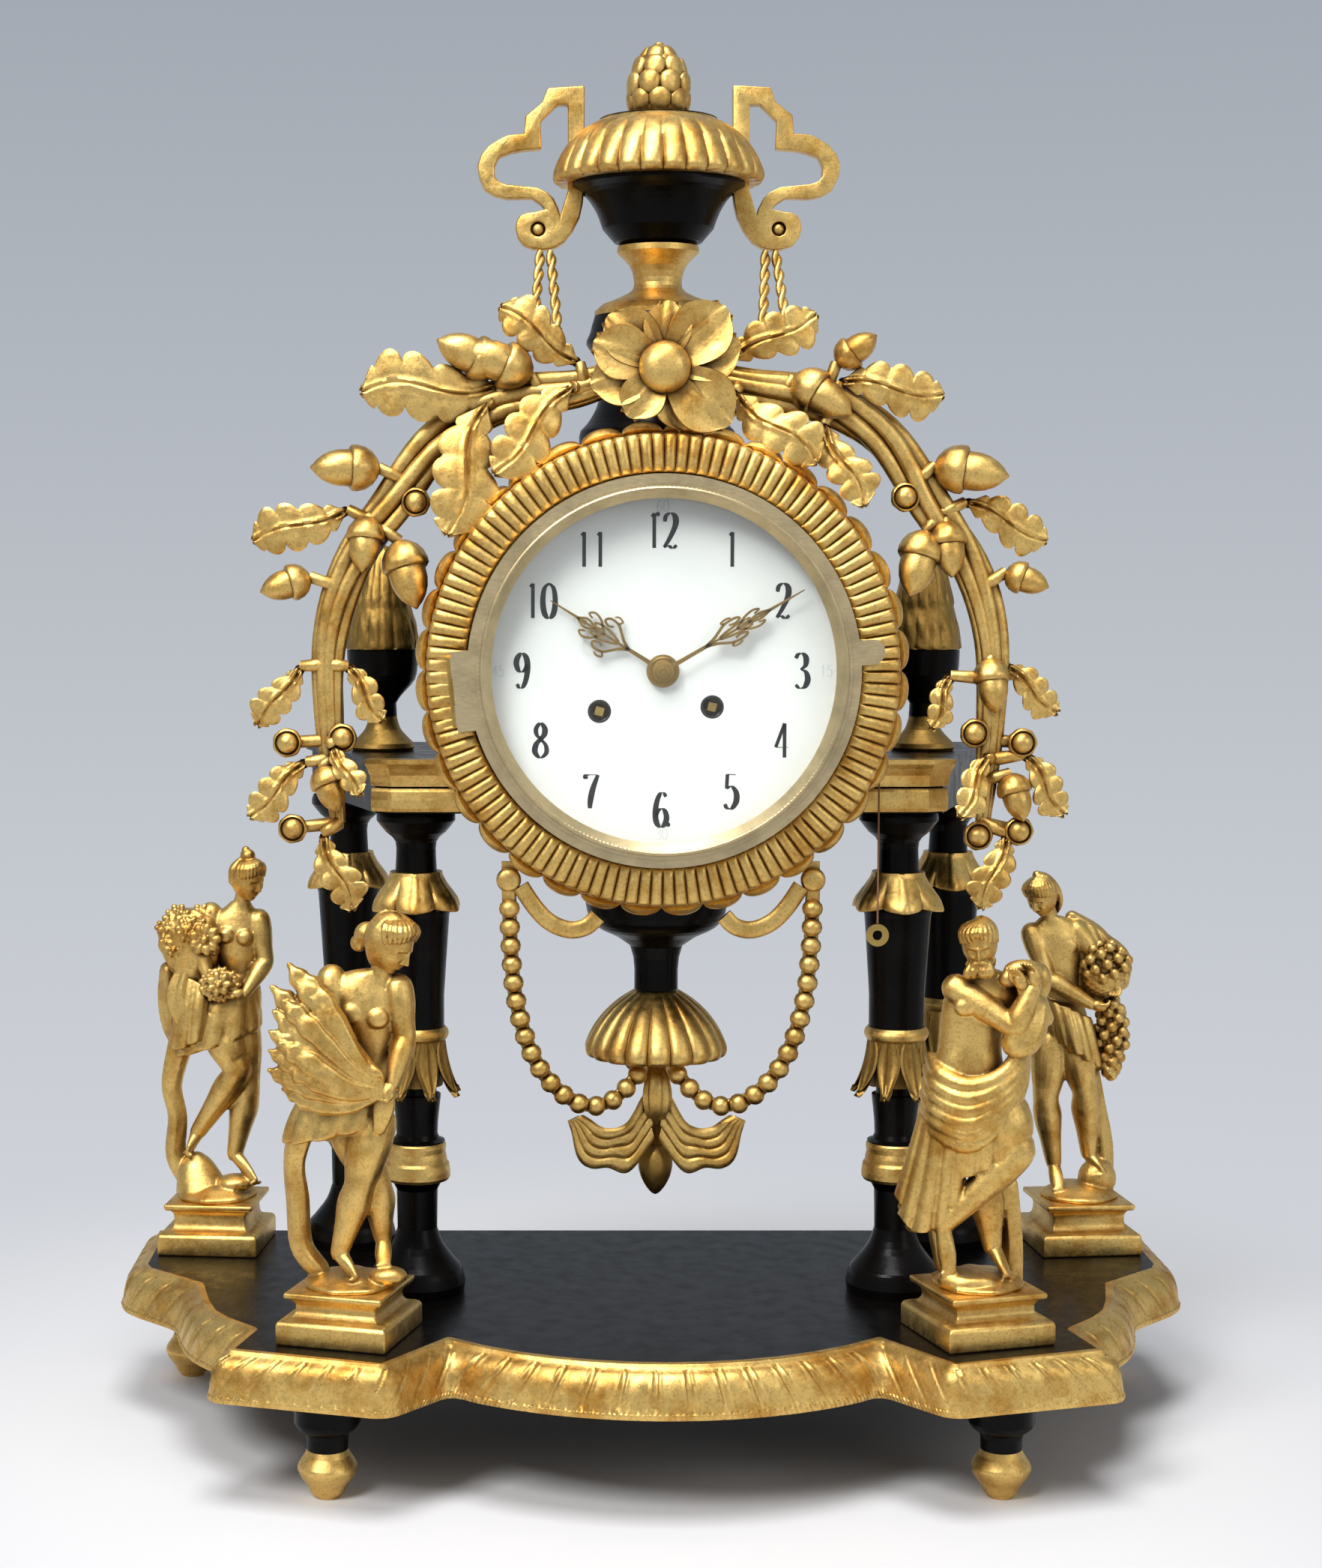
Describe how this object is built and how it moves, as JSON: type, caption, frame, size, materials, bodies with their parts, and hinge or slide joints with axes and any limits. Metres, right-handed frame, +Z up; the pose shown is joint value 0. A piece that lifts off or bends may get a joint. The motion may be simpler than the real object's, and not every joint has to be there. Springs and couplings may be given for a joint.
{
  "type": "portico mantel clock",
  "caption": "Striking mantel clock with a drum case on turned columns, oak garlands, urns and gilt season figures on a shaped black base with a gilt edge.",
  "frame": {"origin": "centre of the bounding box at the underside of the feet", "axes": "+Z up, the dial looks to -Y, +X to the right as seen from the front"},
  "size_m": [0.4812, 0.2204, 0.6],
  "materials": {
    "gilt_wood": "leaf gilding on carved wood, warm and rubbed, satin",
    "ebonised_wood": "black stain and varnish, semi-gloss",
    "brass": "aged lacquered brass",
    "steel": "plain steel",
    "enamel": "white fired enamel on copper, glossy",
    "glass": "clear flat glass",
    "thread": "brown twisted thread"
  },
  "bodies": {
    "case": {"base_board": "ebonised_wood", "base_moulding": "gilt_wood", "foot_necks": "ebonised_wood", "foot_toupies": "gilt_wood", "pedestals": "gilt_wood", "spring_figure": "gilt_wood", "summer_figure": "gilt_wood", "autumn_figure": "gilt_wood", "winter_figure": "gilt_wood", "column_front_left": "ebonised_wood", "column_front_right": "ebonised_wood", "column_rear_left": "ebonised_wood", "column_rear_right": "ebonised_wood", "column_leaf_collars": "gilt_wood", "column_petal_skirts": "gilt_wood", "column_rings": "gilt_wood", "entablature": "ebonised_wood", "entablature_mouldings": "gilt_wood", "side_urn_bodies": "ebonised_wood", "side_urn_feet": "gilt_wood", "side_urn_covers": "gilt_wood", "drum_case": "ebonised_wood", "socle": "ebonised_wood", "urn_foot": "gilt_wood", "urn_body": "ebonised_wood", "urn_cover": "gilt_wood", "pine_cone": "gilt_wood", "urn_handle_left": "gilt_wood", "urn_handle_right": "gilt_wood", "garland_left": "gilt_wood", "garland_right": "gilt_wood", "garland_ropes": "gilt_wood", "rosette": "gilt_wood", "leaf_ring": "gilt_wood", "reeded_ring": "gilt_wood", "pendant_neck": "ebonised_wood", "pendant_cup": "gilt_wood", "bead_swag_left": "gilt_wood", "bead_swag_right": "gilt_wood", "bow_ribbon": "gilt_wood", "bud_drop": "gilt_wood", "dial_seat": "brass", "dial": "enamel", "hinge_leaf": "brass", "movement_frame": "brass", "bell": "brass"},
    "bezel_door": {"bezel_door": "brass", "bezel_glass": "glass"},
    "minute_hand": {"minute_hand": "brass"},
    "hour_hand": {"hour_hand": "brass"},
    "going_barrel": {"going_barrel": "brass"},
    "strike_barrel": {"strike_barrel": "brass"},
    "pendulum": {"pendulum": "brass"},
    "hammer": {"hammer": "steel"},
    "repeat_lever": {"repeat_lever": "steel"},
    "pull_cord": {"repeat_cord": "thread", "cord_ring": "brass"}
  },
  "joints": [
    {"name": "door_hinge", "type": "hinge", "parent": "case", "child": "bezel_door", "pos_m": [-0.08511, -0.0422, 0.32631], "axis": [0.0958, 0, -0.9954], "range_deg": [0, 110]},
    {"name": "minute_hand_turn", "type": "hinge", "parent": "case", "child": "minute_hand", "pos_m": [0, -0.035, 0.3345], "axis": [0, 1, 0], "continuous": true},
    {"name": "hour_hand_turn", "type": "hinge", "parent": "case", "child": "hour_hand", "pos_m": [0, -0.033, 0.3345], "axis": [0, 1, 0], "continuous": true},
    {"name": "going_barrel_wind", "type": "hinge", "parent": "case", "child": "going_barrel", "pos_m": [0.0205, 0, 0.3196], "axis": [0, 1, 0], "continuous": true},
    {"name": "strike_barrel_wind", "type": "hinge", "parent": "case", "child": "strike_barrel", "pos_m": [-0.026, 0, 0.3178], "axis": [0, 1, 0], "continuous": true},
    {"name": "pendulum_swing", "type": "hinge", "parent": "case", "child": "pendulum", "pos_m": [0, 0.062, 0.38], "axis": [0, 1, 0], "range_deg": [-8, 8]},
    {"name": "hammer_lift", "type": "hinge", "parent": "case", "child": "hammer", "pos_m": [0.036, 0.045, 0.3565], "axis": [0, -1, 0], "range_deg": [0, 12], "stiffness_Nm_per_rad": 0.002, "springref_deg": -5.73},
    {"name": "repeat_pull", "type": "hinge", "parent": "case", "child": "repeat_lever", "pos_m": [0.038, -0.0112, 0.3285], "axis": [0, 1, 0], "range_deg": [0, 8], "stiffness_Nm_per_rad": 0.006, "springref_deg": -20.05},
    {"name": "cord_hang", "type": "hinge", "parent": "repeat_lever", "child": "pull_cord", "pos_m": [0.091, -0.0206, 0.318], "axis": [0, 1, 0], "range_deg": [-8, 8]}
  ],
  "couplings": [
    {"joint": "hour_hand_turn", "follows": "minute_hand_turn", "ratio": 0.083333},
    {"joint": "cord_hang", "follows": "repeat_pull", "ratio": -1}
  ]
}
